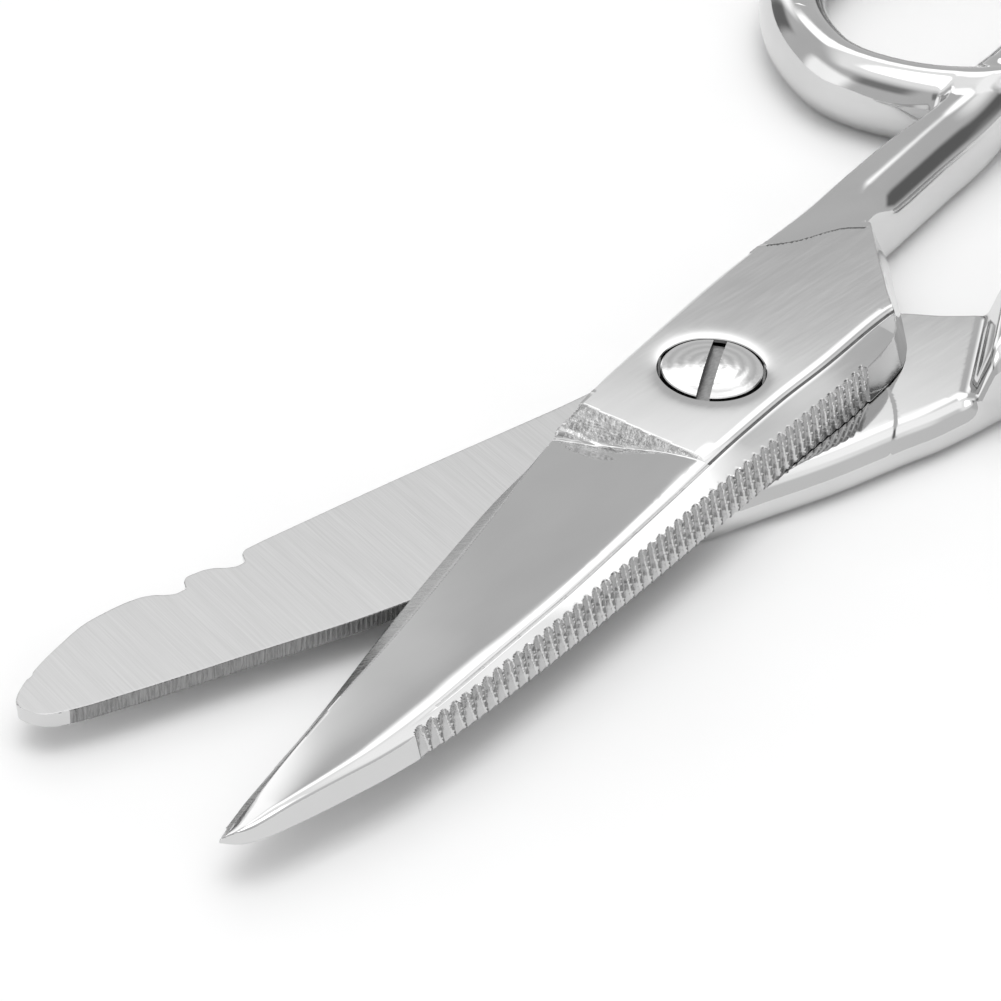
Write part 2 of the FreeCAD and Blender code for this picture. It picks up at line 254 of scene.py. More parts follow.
def upper_top(x, y):
    """Height of the upper half's outer face: joint flat, heel step, blade face and file facet."""
    ridge, ridge_z = U_RIDGE(y), U_RIDGE_Z(y)
    blade = upper_blade(x, y)
    front = heel_front(x)
    rough = 0.05 * ripple(x * 1.6, y * 2.2, x * 0.4, 1.0) * ramp(y - front, 0.1, 0.6)
    step = UPPER_TOP - HEEL_SLOPE * (y - front) + rough
    shelf = UPPER_TOP - 1.12 - 0.35 * (y - front)
    step = smax(step, np.minimum(shelf, step + 0.22), 0.08)
    blade = smax(blade - 0.10 * ramp(front + 3.4 - y, 0, 1.2) * ramp(x, -2.5, 2), step, 0.25)
    top = smin(blade, UPPER_TOP + 0 * x, 0.10)
    back = U_CREASE(x) - y                        # behind the crease the shank falls a little
    shank = UPPER_TOP + 0.07 - 0.17 * ramp(back, -0.45, 0.45) - 0.50 * ramp(back, 0, 9.0)
    top = smin(top, shank - 0.010 * (x - 3.6) ** 2 * ramp(back, 0, 6), 0.06)
    rim = np.maximum(np.hypot(x, y) - RECESS_RADIUS, -0.3)
    top = top - RIM_DROP * np.exp(-rim / RIM_REACH)
    drop = (ridge_z - UPPER_FACE - U_WALL(y)) / np.maximum(ridge - U_SPINE(y) - U_LEAN(y) * U_WALL(y), 0.3)
    facet = ridge_z - 0.03 - np.clip(drop, 0.10, 0.22) * (ridge - x)
    top = smin(top, facet, 0.05)
    groove = GROOVE_DEPTH * np.exp(-((x - ridge + GROOVE_BACK) / GROOVE_WIDTH) ** 2)
    return top - groove * ramp(y, -19, -16) * (1 - ramp(y, 36, 43))


def upper_flutes(y, z):
    """How far the flutes of the file are cut into the spine wall."""
    s = (y - FLUTE_FIRST) / FLUTE_PITCH
    part = 1 - (s - np.floor(s))                 # 0 at the flute's tip side, 1 at its handle side
    arch = 1 - (1 - np.minimum(part / FLUTE_DEEPEST, 1)) ** 1.9
    arch = arch * (1 - (np.maximum(part - FLUTE_DEEPEST, 0) / (1 - FLUTE_DEEPEST)) ** 2)
    deep = 0.17 + 0.27 * np.clip((z - UPPER_FACE) / U_WALL(y), 0, 1.3)
    return np.where((y > FLUTE_FIRST) & (y < FLUTE_LAST), deep * arch, 0.0)


def upper_field(x, y, z):
    """Less than 0 inside the upper half."""
    top = upper_top(x, y)
    over = z - top
    spine = U_SPINE(y) + U_LEAN(y) * (z - UPPER_FACE)
    heel = ramp(-y, 11.5, 15)
    spine = spine + 0.10 * heel * np.sin(np.clip((z - UPPER_FACE) / 3.2, 0, 1) * np.pi)
    wall = (spine + upper_flutes(y, z) - x) / np.sqrt(1 + slope(U_SPINE, y) ** 2)
    edge_slope = np.where(y > 10.4, (U_EDGE(y) - U_BEVEL(y)) / (U_BEVEL_Z(y) - UPPER_FACE), 0.10)
    edge_slope = np.maximum(edge_slope, 0.10)
    side = x - U_EDGE(y) + edge_slope * (z - UPPER_FACE)
    side = side / np.sqrt(1 + edge_slope ** 2 + slope(U_EDGE, y) ** 2)
    plate = smax(wall, side, 0.08)               # the blade and the joint
    plate = smax(plate, over, 0.05 + 0.11 * ramp(y, FLUTE_LAST, FLUTE_LAST + 1))
    plate = smax(plate, UPPER_FACE - z, 0.08)
    plate = smax(plate, U_CREASE(x) - y - 1.4, 0.3)

    inner = 0.58 - 0.3 * ramp(-y, 36, 50) - x    # the shank and the handle
    outer = x - U_OUT(y)
    behind = half_plane(x, y, SHANK_SHOULDER[1], SHANK_SHOULDER[0])
    round_in = 0.15 + 3.3 * ramp(-y, 21.2, 28.5)
    bar = smax(inner, over, round_in)
    bar = smax(bar, outer, 0.2)
    bar = smax(bar, (outer + over + 0.42) / math.sqrt(2), 0.12)
    bar = smax(bar, -z, 1.9)
    t = ramp(-y, 40, 53)                          # from shank to oval
    bar = bar * (1 - t) + bow_bar(x, z) * t
    bar = smax(bar, behind, 0.4)
    bar = smax(bar, -BAR_END - y, 0.2)
    handle = smin(bar, bow_end(x, y, z), bow_fillet(x, y))
    handle = smax(handle, past_middle(-x, y), 0.1)
    return np.maximum(np.minimum(plate, handle), -z)


# -------- lower half
L_LEFT = curve([(-54, -6.0), (-51, -6.0), (-44, -8.6), (-35, -10.2), (-26, -10.9), (-17.7, -11.2),
                (-12.6, -11.25), (-9.2, -11.0), (-3.6, -10.66), (2.4, -9.9), (6.35, -9.3), (8.6, -8.2),
                (10.0, -6.6), (10.6, -6.2), (20.6, -5.65), (32.7, -4.6), (41.2, -3.26), (49.7, -1.88),
                (54.2, -0.95), (55.6, -0.36), (56.2, 0.6), (56.5, 1.4)])
L_BACK = curve([(-60, 0.0), (-52, -0.55), (-48, -0.75), (-42, -1.9), (-36, -2.6), (-28, -3.0),
                (-24.2, -3.0), (-21.6, -1.6), (-19.3, 0.45), (-16, 3.1), (-12.6, 5.5), (-10.5, 6.6),
                (-8, 6.85), (0, 6.6), (9.2, 6.25), (20.6, 6.3), (31.3, 6.15), (35.5, 6.02),
                (35.95, 5.75), (36.35, 4.95), (36.9, 4.86), (37.6, 5.1), (38.4, 5.62), (39.2, 5.85),
                (40.3, 5.9), (40.75, 5.6), (41.15, 4.88), (41.8, 4.84), (42.5, 5.12), (43.2, 5.6),
                (44.2, 5.93), (45.4, 6.02), (47.8, 5.88), (51.4, 4.74), (54.4, 3.3), (55.6, 2.5),
                (56.2, 1.9), (56.5, 1.5)])
L_RIDGE = curve([(-20, 8.0), (-5, 6.6), (4, 5.4), (10, 5.0), (32, 4.7), (35, 4.3), (44, 4.1), (50, 3.2),
                 (54, 2.0), (56.5, 1.4)])
L_RIDGE_Z = curve([(-20, 0.02), (8, 0.02), (12, 0.3), (20, 0.5), (33, 0.9), (45, 1.55), (53, 1.95),
                   (56.5, 2.1)])
L_EDGE_WALL = 1.10                    # height of the serrated edge
L_TIP = (1.15, 54.3, 2.12)            # centre and radius of the rounded tip
L_SHOULDER = ((-10.6, -14.9), (-3.0, -24.2))   # where the handle rises from the joint web
BOSS_RADIUS, BOSS_STEP = 12.9, 0.07   # the faint round step that the upper half rides on


def lower_under(x, y):
    """Height of the lower half's outer face, which is the underside at rest."""
    ridge, ridge_z = L_RIDGE(y), L_RIDGE_Z(y)
    edge_z = LOWER_FACE - L_EDGE_WALL - 0.45
    reach = np.maximum(ridge - L_LEFT(y), 0.5)
    blade = ridge_z + crowned(np.maximum(ridge - x, 0), reach, np.maximum(edge_z - ridge_z, 0.02))
    step = HEEL_SLOPE * (y - heel_front(-x))
    blade = smin(blade, step, 0.25)
    under = smax(blade, 0 * x, 0.10)
    facet = ridge_z + 0.14 * (x - ridge)
    return smax(under, facet, 0.05)


def lower_field(x, y, z):
    """Less than 0 inside the lower half."""
    outside_boss = ramp(np.hypot(x, y), BOSS_RADIUS, BOSS_RADIUS + 0.25)
    flat = LOWER_FACE - BOSS_STEP * outside_boss * ramp(-y, -2.0, 1.0)
    left = (L_LEFT(y) - x) / np.sqrt(1 + slope(L_LEFT, y) ** 2)
    left = left + 0.77 * np.maximum(LOWER_FACE - L_EDGE_WALL - z, 0) * ramp(y, 8.5, 12)
    behind = ramp(-y, 14, 21)                    # 0 on the joint, 1 on the handle
    back = (x - L_BACK(y)) / np.sqrt(1 + slope(L_BACK, y) ** 2)
    back = back + 0.12 * np.maximum(LOWER_FACE - z, 0) * (1 - behind)
    bead = ramp(-y, -9.5, -5.0)                  # the outer side of the joint and handle is rounded

    rise = half_plane(x, y, *L_SHOULDER) + 0.35 * np.maximum(z - LOWER_FACE, 0)
    top = z - LOWER_TOP + 0.012 * (x + 7) ** 2 * ramp(-y, 20, 30)
    cover = smin(z - flat + 8 * ramp(-y, 23, 30), smax(top, rise, 0.5), 0.9)
    body = smax(cover, back, 0.12 + 1.5 * ramp(-y, 23, 29))
    body = smax(body, left, 0.07 + 2.1 * bead + 0.4 * behind)
    tip_x, tip_y, tip_radius = L_TIP
    tip = np.hypot(x - tip_x, np.maximum(y - tip_y, 0)) - tip_radius - 20 * ramp(tip_y - y, 0, 6.0)
    body = smax(body, tip, 0.12)
    body = smax(body, lower_under(x, y) - z, 0.10 + 1.5 * bead * ramp(-x, 4, 8) + 0.3 * behind)

    t = ramp(-y, 42, 53)                          # from shank to oval
    body = body * (1 - t) + bow_bar(-x, z) * t
    body = smax(body, -BAR_END - y, 0.2)
    body = smin(body, bow_end(-x, y, z), bow_fillet(-x, y))
    body = smax(body, past_middle(x, y), 0.1)
    return np.maximum(body, -z)


# -------- meshing
COARSE = 1.0


def spread(low, high, count, ends=0.0):
    """count + 1 values from low to high, closer together near both ends as ends goes to 1."""
    t = np.linspace(0, 1, count + 1)
    return low + (high - low) * (t - ends * np.sin(2 * np.pi * t) / (2 * np.pi))


def stations(*runs):
    """Values through several runs of (low, high, spacing)."""
    out = [runs[0][0]]
    for low, high, gap in runs:
        count = max(1, int(round((high - low) / (gap * COARSE))))
        out.extend(np.linspace(low, high, count + 1)[1:])
    return np.array(out)


def columns(ys, knots, counts):
    """Grid columns that follow feature lines: knots is a list of functions of y, in order."""
    lines = [np.asarray(k(ys), float) for k in knots]
    for i in range(1, len(lines)):
        lines[i] = np.maximum(lines[i], lines[i - 1] + 0.03)
    rows = [lines[0][:, None]]
    for a, b, n in zip(lines[:-1], lines[1:], counts):
        n = max(2, int(round(n / COARSE)))
        t = spread(0, 1, n, 0.55)[1:]
        rows.append(a[:, None] + (b - a)[:, None] * t[None, :])
    return np.concatenate(rows, axis=1).T        # columns by stations


# the corners of a grid cell, and the twelve pairs of corners that share an edge
CORNERS = [(i, j, k) for i in (0, 1) for j in (0, 1) for k in (0, 1)]
EDGES = [(a, b) for ai, a in enumerate(CORNERS) for b in CORNERS[ai + 1:]
         if sum(abs(p - q) for p, q in zip(a, b)) == 1]


def surface(field, X, ys, zs):
    """Dual mesh of field = 0 on the warped grid X[column, station], ys, zs."""
    values = field(X[:, :, None], ys[None, :, None], zs[None, None, :])
    values = np.broadcast_to(values, (X.shape[0], len(ys), len(zs))).astype(np.float64)
    inside = values < 0
    cells = np.zeros(tuple(n - 1 for n in inside.shape), np.int8)
    for i, j, k in CORNERS:
        cells += inside[i:cells.shape[0] + i, j:cells.shape[1] + j, k:cells.shape[2] + k]
    active = (cells > 0) & (cells < 8)
    ci, cj, ck = np.nonzero(active)
    number = -np.ones(cells.shape, np.int64)
    number[ci, cj, ck] = np.arange(len(ci))
    total, hits = np.zeros((len(ci), 3)), np.zeros(len(ci))
    for (a, b) in EDGES:
        ia, ja, ka = ci + a[0], cj + a[1], ck + a[2]
        ib, jb, kb = ci + b[0], cj + b[1], ck + b[2]
        fa, fb = values[ia, ja, ka], values[ib, jb, kb]
        cross = (fa < 0) != (fb < 0)
        t = np.where(cross, fa / np.where(cross, fa - fb, 1), 0)
        pa = np.stack([X[ia, ja], ys[ja], zs[ka]], 1)
        pb = np.stack([X[ib, jb], ys[jb], zs[kb]], 1)
        total += np.where(cross[:, None], pa + (pb - pa) * t[:, None], 0)
        hits += cross
    verts = total / hits[:, None]
    quads = []
    for axis in range(3):
        lo = [slice(None)] * 3
        hi = [slice(None)] * 3
        lo[axis], hi[axis] = slice(0, -1), slice(1, None)
        change = inside[tuple(lo)] != inside[tuple(hi)]
        u, v = [a for a in range(3) if a != axis]
        idx = np.nonzero(change)
        keep = ((idx[u] > 0) & (idx[v] > 0)
                & (idx[u] < number.shape[u]) & (idx[v] < number.shape[v]))
        idx = [n[keep] for n in idx]
        ring = []
        for du, dv in ((-1, -1), (0, -1), (0, 0), (-1, 0)):
            at = list(idx)
            at[u], at[v] = idx[u] + du, idx[v] + dv
            ring.append(number[at[0], at[1], at[2]])
        ring = np.stack(ring, 1)
        flip = inside[tuple(lo)][tuple(idx)]
        if axis == 1:
            flip = ~flip
        ring[~flip] = ring[~flip][:, ::-1]
        quads.append(ring)
    quads = np.concatenate(quads)
    quads = quads[(quads >= 0).all(1)]
    return verts, quads


def gradient(field, p, h=0.012):
    """The field's slope in x, y and z at each point, by central differences of step h."""
    g = np.zeros_like(p)
    for a in range(3):
        d = np.zeros(3)
        d[a] = h
        g[:, a] = (field(*(p + d).T) - field(*(p - d).T)) / (2 * h)
    return g


def settle(field, p, rounds=4, limit=0.12):
    """Moves points onto the surface along the field's gradient."""
    for _ in range(rounds):
        f = field(*p.T)
        g = gradient(field, p)
        move = -f[:, None] * g / np.maximum((g * g).sum(1), 0.05)[:, None]
        size = np.linalg.norm(move, axis=1)
        move *= np.minimum(1, limit / np.maximum(size, 1e-9))[:, None]
        p = p + move
    return p


def turned(points, angle):
    """Points turned about the screw's axis."""
    c, s = math.cos(angle), math.sin(angle)
    out = points.copy()
    out[:, 0] = points[:, 0] * c - points[:, 1] * s
    out[:, 1] = points[:, 0] * s + points[:, 1] * c
    return out


def mesh_object(name, verts, faces):
    """A linked object from arrays of points and of faces that all have as many sides."""
    mesh = bpy.data.meshes.new(name)
    faces = np.asarray(faces)
    mesh.vertices.add(len(verts))
    mesh.vertices.foreach_set("co", np.asarray(verts, np.float32).ravel())
    sides = faces.shape[1]
    mesh.loops.add(len(faces) * sides)
    mesh.loops.foreach_set("vertex_index", faces.astype(np.int32).ravel())
    mesh.polygons.add(len(faces))
    mesh.polygons.foreach_set("loop_start", np.arange(0, len(faces) * sides, sides, dtype=np.int32))
    mesh.update(calc_edges=True)
    mesh.validate()
    obj = bpy.data.objects.new(name, mesh)
    bpy.context.scene.collection.objects.link(obj)
    return obj


def lathe(profile, segments=128):
    """A closed solid of revolution about z from (radius, height) pairs that start and end on the axis."""
    bm = bmesh.new()
    rings = []
    for r, z in profile:
        if r < 1e-6:
            rings.append([bm.verts.new((0, 0, z))])
        else:
            rings.append([bm.verts.new((r * math.cos(2 * math.pi * i / segments),
                                        r * math.sin(2 * math.pi * i / segments), z))
                          for i in range(segments)])
    for a, b in zip(rings[:-1], rings[1:]):
        for i in range(segments):
            j = (i + 1) % segments
            loop = [a[i % len(a)], a[j % len(a)], b[j % len(b)], b[i % len(b)]]
            loop = [v for n, v in enumerate(loop) if v not in loop[:n]]
            if len(loop) > 2:
                bm.faces.new(loop)
    bmesh.ops.recalc_face_normals(bm, faces=bm.faces)
    return bm


def bm_object(name, bm):
    """A linked object from a bmesh, which it frees."""
    mesh = bpy.data.meshes.new(name)
    bm.to_mesh(mesh)
    bm.free()
    obj = bpy.data.objects.new(name, mesh)
    bpy.context.scene.collection.objects.link(obj)
    return obj


def cut_with(obj, cutter):
    """Takes the cutter out of the object by one exact boolean, and removes the cutter."""
    mod = obj.modifiers.new("cut", "BOOLEAN")
    mod.operation, mod.solver, mod.object = "DIFFERENCE", "EXACT", cutter
    bpy.context.view_layer.update()
    done = bpy.data.meshes.new_from_object(obj.evaluated_get(bpy.context.evaluated_depsgraph_get()))
    obj.modifiers.clear()
    old = obj.data
    obj.data = done
    bpy.data.meshes.remove(old)
    bpy.data.objects.remove(cutter)


def refine(obj, field, near, cuts):
    """Splits the faces near a crisp line and settles them again, so that its shading isn't stepped."""
    bm = bmesh.new()
    bm.from_mesh(obj.data)
    chosen = near(*np.array([f.calc_center_median() for f in bm.faces]).T)
    edges = {e for f, hit in zip(bm.faces, chosen) if hit for e in f.edges}
    bmesh.ops.subdivide_edges(bm, edges=list(edges), cuts=cuts, use_grid_fill=True)
    bm.to_mesh(obj.data)
    bm.free()
    co = corner_data(obj.data)[0]
    obj.data.vertices.foreach_set("co", settle(field, co, 3).astype(np.float32).ravel())
    obj.data.update()


def corner_data(mesh):
    """Points, the point of each face corner, and each face's normal, centre and number of sides."""
    co = np.zeros(len(mesh.vertices) * 3)
    mesh.vertices.foreach_get("co", co)
    loops = np.zeros(len(mesh.loops), np.int32)
    mesh.loops.foreach_get("vertex_index", loops)
    normal = np.zeros(len(mesh.polygons) * 3)
    mesh.polygons.foreach_get("normal", normal)
    centre = np.zeros(len(mesh.polygons) * 3)
    mesh.polygons.foreach_get("center", centre)
    sides = np.zeros(len(mesh.polygons), np.int32)
    mesh.polygons.foreach_get("loop_total", sides)
    return co.reshape(-1, 3), loops, normal.reshape(-1, 3), centre.reshape(-1, 3), sides


SHARP = math.cos(math.radians(24))    # a corner whose smooth normal leans more than this is shaded flat


def finish_forging(obj, field, finishes, materials, angle):
    """Gives a cut forging its smooth normals and finishes, then places it in the row frame."""
    mesh = obj.data
    co, loops, normal, centre, sides = corner_data(mesh)
    g = gradient(field, co)
    g /= np.maximum(np.linalg.norm(g, axis=1), 1e-9)[:, None]
    face_of = np.repeat(np.arange(len(sides)), sides)
    corner = g[loops]
    place = co[loops]
    radius = np.hypot(place[:, 0], place[:, 1])
    facing = normal[face_of]
    # the field knows nothing of the holes, so their walls face the axis and their seats are level
    centre_radius = np.hypot(centre[:, 0], centre[:, 1])[face_of]
    bored = centre_radius < RECESS_RADIUS + 0.2
    steep = bored & (np.abs(facing[:, 2]) < 0.95)
    tilt = np.sqrt(np.maximum(1 - facing[:, 2] ** 2, 0)) / np.maximum(radius, 1e-6)
    hole = np.stack([-place[:, 0] * tilt, -place[:, 1] * tilt, facing[:, 2]], 1)
    corner[steep] = hole[steep]
    level = bored & ~steep & (centre_radius < RECESS_RADIUS - 0.02)
    corner[level] = np.stack([0 * facing[:, 2], 0 * facing[:, 2], np.sign(facing[:, 2])], 1)[level]
    wrong = (corner * facing).sum(1) < SHARP
    corner[wrong] = facing[wrong]
    index = finishes(centre, normal)
    mesh.materials.clear()
    for m in materials:
        mesh.materials.append(m)
    mesh.polygons.foreach_set("material_index", index.astype(np.int32))
    mesh.polygons.foreach_set("use_smooth", np.ones(len(sides), bool))
    corner = turned(corner, angle)
    mesh.vertices.foreach_set("co", (turned(co, angle) * MM).astype(np.float32).ravel())
    mesh.update()
    mesh.normals_split_custom_set(corner.tolist())
    return obj


# -------- materials
class Nodes:
    """Shorthand for building one material's node tree."""

    def __init__(self, name):
        self.mat = bpy.data.materials.new(name)
        self.mat.use_nodes = True
        self.tree = self.mat.node_tree
        self.tree.nodes.clear()
        self.out = self.tree.nodes.new("ShaderNodeOutputMaterial")

    def add(self, kind, inputs=None, **settings):
        node = self.tree.nodes.new("ShaderNode" + kind)
        for key, value in settings.items():
            setattr(node, key, value)
        for key, value in (inputs or {}).items():
            if isinstance(value, bpy.types.NodeSocket):
                self.tree.links.new(value, node.inputs[key])
            else:
                node.inputs[key].default_value = value
        return node

    def place(self, scale):
        """Object coordinates stretched by scale, in metres."""
        coords = self.add("TexCoord")
        return self.add("Mapping", {"Vector": coords.outputs["Object"], "Scale": scale}).outputs[0]

    def noise(self, scale, detail):
        noise = self.add("TexNoise", {"Vector": self.place(scale), "Scale": 1.0, "Detail": detail})
        return noise.outputs["Fac"]

    def span(self, value, low, high, a=0.3, b=0.7):
        """Takes values from a to b to values from low to high."""
        return self.add("MapRange", {"Value": value, "From Min": a, "From Max": b,
                                     "To Min": low, "To Max": high}).outputs[0]

    def grey(self, value, low, high, a=0.3, b=0.7):
        v = self.span(value, low, high, a, b)
        return self.add("CombineColor", {"Red": v, "Green": v, "Blue": v}).outputs[0]

    def bump(self, height, strength, distance, normal=None):
        inputs = {"Height": height, "Strength": strength, "Distance": distance}
        if normal is not None:
            inputs["Normal"] = normal
        return self.add("Bump", inputs).outputs[0]

    def metal(self, color, rough, normal):
        shader = self.add("BsdfPrincipled", {"Base Color": color, "Roughness": rough, "Metallic": 1.0,
                                             "Normal": normal})
        self.tree.links.new(shader.outputs[0], self.out.inputs["Surface"])
        return self.mat


def polished(name, low=0.62, high=0.66, rough=(0.05, 0.10)):
    """Nickel-chrome plate: buffed along the blade, with faint waves and hairlines."""
    n = Nodes(name)
    broad = n.noise((220, 90, 220), 2.0)
    hair = n.noise((3600, 260, 3600), 4.0)
    fine = n.noise((9000, 9000, 9000), 2.0)
    normal = n.bump(broad, 0.10, 0.00004)
    normal = n.bump(hair, 0.05, 0.000006, normal)
    normal = n.bump(fine, 0.04, 0.000004, normal)
    return n.metal(n.grey(broad, low, high), n.span(hair, rough[0], rough[1]), normal)


GRIND_LEAN = 0.04                     # how far the grinding lines lean from square, in radians


def brushed(name):
    """The ground inner face of the lower blade: fine lines that run straight across the blade."""
    n = Nodes(name)
    coords = n.add("TexCoord")
    turn = n.add("Mapping", {"Vector": coords.outputs["Object"],
                             "Rotation": (0, 0, HALF_OPENING + GRIND_LEAN)})

    def lines(scale, detail):
        placed = n.add("Mapping", {"Vector": turn.outputs[0], "Scale": scale})
        noise = n.add("TexNoise", {"Vector": placed.outputs[0], "Scale": 1.0, "Detail": detail})
        return noise.outputs["Fac"]

    fine = lines((240, 16000, 500), 4.0)
    broad = lines((160, 8200, 500), 3.0)
    mix = n.add("Math", {0: fine, 1: broad}, operation="ADD").outputs[0]
    color = n.grey(mix, 0.47, 0.55, 0.7, 1.3)
    normal = n.bump(fine, 0.16, 0.00001)
    normal = n.bump(broad, 0.10, 0.00001, normal)
    return n.metal(color, n.span(mix, 0.30, 0.38, 0.7, 1.3), normal)


def satin(name, low=0.60, high=0.68, rough=(0.14, 0.22)):
    """The flutes of the file, cut and then only lightly plated; in darker tones the same satin also paints
    shade in the flute roots, the creases and the screw's slot and gap.
    """
    n = Nodes(name)
    streak = n.noise((5000, 2500, 700), 4.0)
    normal = n.bump(streak, 0.25, 0.00001)
    return n.metal(n.grey(streak, low, high), n.span(streak, rough[0], rough[1]), normal)


def ground(name, low=0.34, high=0.52):
    """A ground cutting bevel: darker, with lines square to the edge."""
    n = Nodes(name)
    lines = n.noise((900, 7000, 900), 3.0)
    normal = n.bump(lines, 0.06, 0.00001)
    return n.metal(n.grey(lines, low, high), n.span(lines, 0.22, 0.34), normal)


def cast(name):
    """The unpolished scoop at the heel of the blade."""
    n = Nodes(name)
    lump = n.noise((2600, 2600, 2600), 6.0)
    pit = n.noise((7000, 7000, 7000), 4.0)
    normal = n.bump(lump, 0.8, 0.0001)
    normal = n.bump(pit, 0.5, 0.00003, normal)
    return n.metal(n.grey(lump, 0.40, 0.72), n.span(pit, 0.12, 0.30), normal)


def turned_steel(name, rough=(0.10, 0.18)):
    """Lathe-turned steel: rings about the axis, with small tool chatter."""
    n = Nodes(name)
    coords = n.add("TexCoord")
    rings = n.add("TexWave", {"Vector": coords.outputs["Object"], "Scale": 420.0, "Distortion": 1.2,
                              "Detail": 3.0, "Detail Scale": 2.5, "Detail Roughness": 0.6},
                  wave_type="RINGS", rings_direction="Z").outputs["Fac"]
    chatter = n.noise((3000, 3000, 3000), 4.0)
    normal = n.bump(rings, 0.40, 0.00002)
    normal = n.bump(chatter, 0.25, 0.00002, normal)
    return n.metal(n.grey(rings, 0.66, 0.80, 0.0, 1.0), n.span(chatter, rough[0], rough[1]), normal)


PLATED = polished("plated_steel")
BRUSHED = brushed("ground_inner_face")
FLUTED = satin("file_flutes", 0.50, 0.56)
# painted shade: a near-black strip at the root of each flute, where the flutes shade one another
FLUTE_ROOT_SHADE = satin("flute_roots_painted_shade", 0.20, 0.26)
BEVEL = ground("ground_bevel", 0.34, 0.44)
# darker partly for the serrated edge's own look and partly as painted shade for the dark surroundings that
# the edge wall reflects
SERRATION_AND_SHADE = ground("serrated_edge_and_painted_shade", 0.20, 0.34)
CAST = cast("heel_scoop")
# painted shade: dark lines along the groove beside the ridge and along the shank's crease, paler towards
# the tip
DARK_CREASE_SHADE = satin("crease", 0.10, 0.16, (0.25, 0.35))
PALE_CREASE_SHADE = satin("pale_crease_painted_shade", 0.44, 0.52, (0.20, 0.30))
SCREW = turned_steel("turned_screw")
# painted shade: the screw slot's floor and walls, and the side of the head in its gap, are darkened where
# they lie in shade
SLOT_SHADE = satin("screw_slot_painted_shade", 0.22, 0.34, (0.30, 0.40))
SLOT_AND_GAP_SHADE = satin("slot_and_gap_walls_painted_shade", 0.06, 0.12, (0.30, 0.40))
SPRING = satin("spring_steel", 0.60, 0.75)
NUT = turned_steel("faced_nut", (0.16, 0.26))


# -------- the two forgings
HANDLE_END = 79.9                     # the grid reaches this far behind the screw
BOW_ROWS = 46.0                       # past here the columns are straight; before it they follow the blade


def shift(line, by):
    return lambda y: line(y) + by


def blend_lines(line, other, start, end):
    """line for y above -start, and other below -end, with a smooth change between."""
    def at(y):
        t = ramp(-np.asarray(y, float), start, end)
        return line(y) * (1 - t) + other * t
    return at


def forging(name, field, X, ys, zs):
    """The meshed and settled field, as an object in its own shut frame."""
    verts, quads = surface(field, X, ys, zs)
    return mesh_object(name, settle(field, verts), quads)


def rows_in_height(low, middle, high, below, above, ends):
    """Heights from low to high, with their own spacing on each side of middle."""
    counts = [n for n in (below, above)]
    return np.unique(np.concatenate([spread(low, middle, counts[0], ends[0]),
                                     spread(middle, high, counts[1], ends[1])]))


UPPER_FINISHES = (PLATED, FLUTED, BEVEL, CAST, BRUSHED, DARK_CREASE_SHADE, PALE_CREASE_SHADE, FLUTE_ROOT_SHADE)
LOWER_FINISHES = (PLATED, BRUSHED, SERRATION_AND_SHADE)


def upper_finishes(centre, n):
    """The number of the finish of each face, from its centre and its normal."""
    x, y, z = centre.T
    out = np.zeros(len(centre), int)

    def mark(faces, finish):
        out[faces] = UPPER_FINISHES.index(finish)

    spine = U_SPINE(y) + U_LEAN(y) * (z - UPPER_FACE)
    on_wall = (n[:, 0] < -0.45) & (x - spine < 0.45) & (y > FLUTE_FIRST) & (y < FLUTE_LAST)
    on_wall &= z < UPPER_FACE + U_WALL(y) + 0.12
    part = 1 - ((y - FLUTE_FIRST) / FLUTE_PITCH) % 1
    mark(on_wall & (part < FLUTE_DEEPEST), FLUTED)
    # the first row of each flute is painted shade
    mark(on_wall & (part < 1 / ROWS_PER_FLUTE), FLUTE_ROOT_SHADE)
    mark((n[:, 0] > 0.35) & (y > 12.0) & (z < U_BEVEL_Z(y) + 0.02) & (z > UPPER_FACE + 0.02), BEVEL)
    front = heel_front(x)
    scoop = (y > front - 0.02) & (y < front + 3.0) & (n[:, 2] > 0.2) & (x > U_RIDGE(y) + 0.9) & (x < 5.6)
    mark(scoop & (z > upper_blade(x, y) + 0.03), CAST)
    mark((n[:, 2] < -0.9) & (np.abs(z - UPPER_FACE) < 0.06), BRUSHED)
    # painted shade: the groove beside the ridge and the shank's crease get dark materials
    groove = (n[:, 2] > 0.8) & (np.abs(x - U_RIDGE(y) + 0.21) < 0.09) & (y > -17.5)
    mark(groove & (y < 9.5), DARK_CREASE_SHADE)
    mark(groove & (y >= 9.5) & (y < 40), PALE_CREASE_SHADE)
    on_crease = (np.abs(U_CREASE(x) - y) < 0.2) & (x > 0.2) & (x < 4.9)
    mark((n[:, 2] > 0.7) & (z > 6) & on_crease, DARK_CREASE_SHADE)
    return out


def lower_finishes(centre, n):
    """The number of the finish of each face, from its centre and its normal."""
    x, y, z = centre.T
    out = np.zeros(len(centre), int)
    out[(n[:, 2] > 0.9) & (z > 3.0) & (z < 3.3) & (y > 5)] = LOWER_FINISHES.index(BRUSHED)
    edge = (z > LOWER_FACE - L_EDGE_WALL - 0.05) & (z < LOWER_FACE - 0.02)
    # the serrated edge wall: its own darker ground look plus painted shade
    out[(n[:, 0] < -0.5) & (y > 11) & (y < 54) & edge] = LOWER_FINISHES.index(SERRATION_AND_SHADE)
    return out


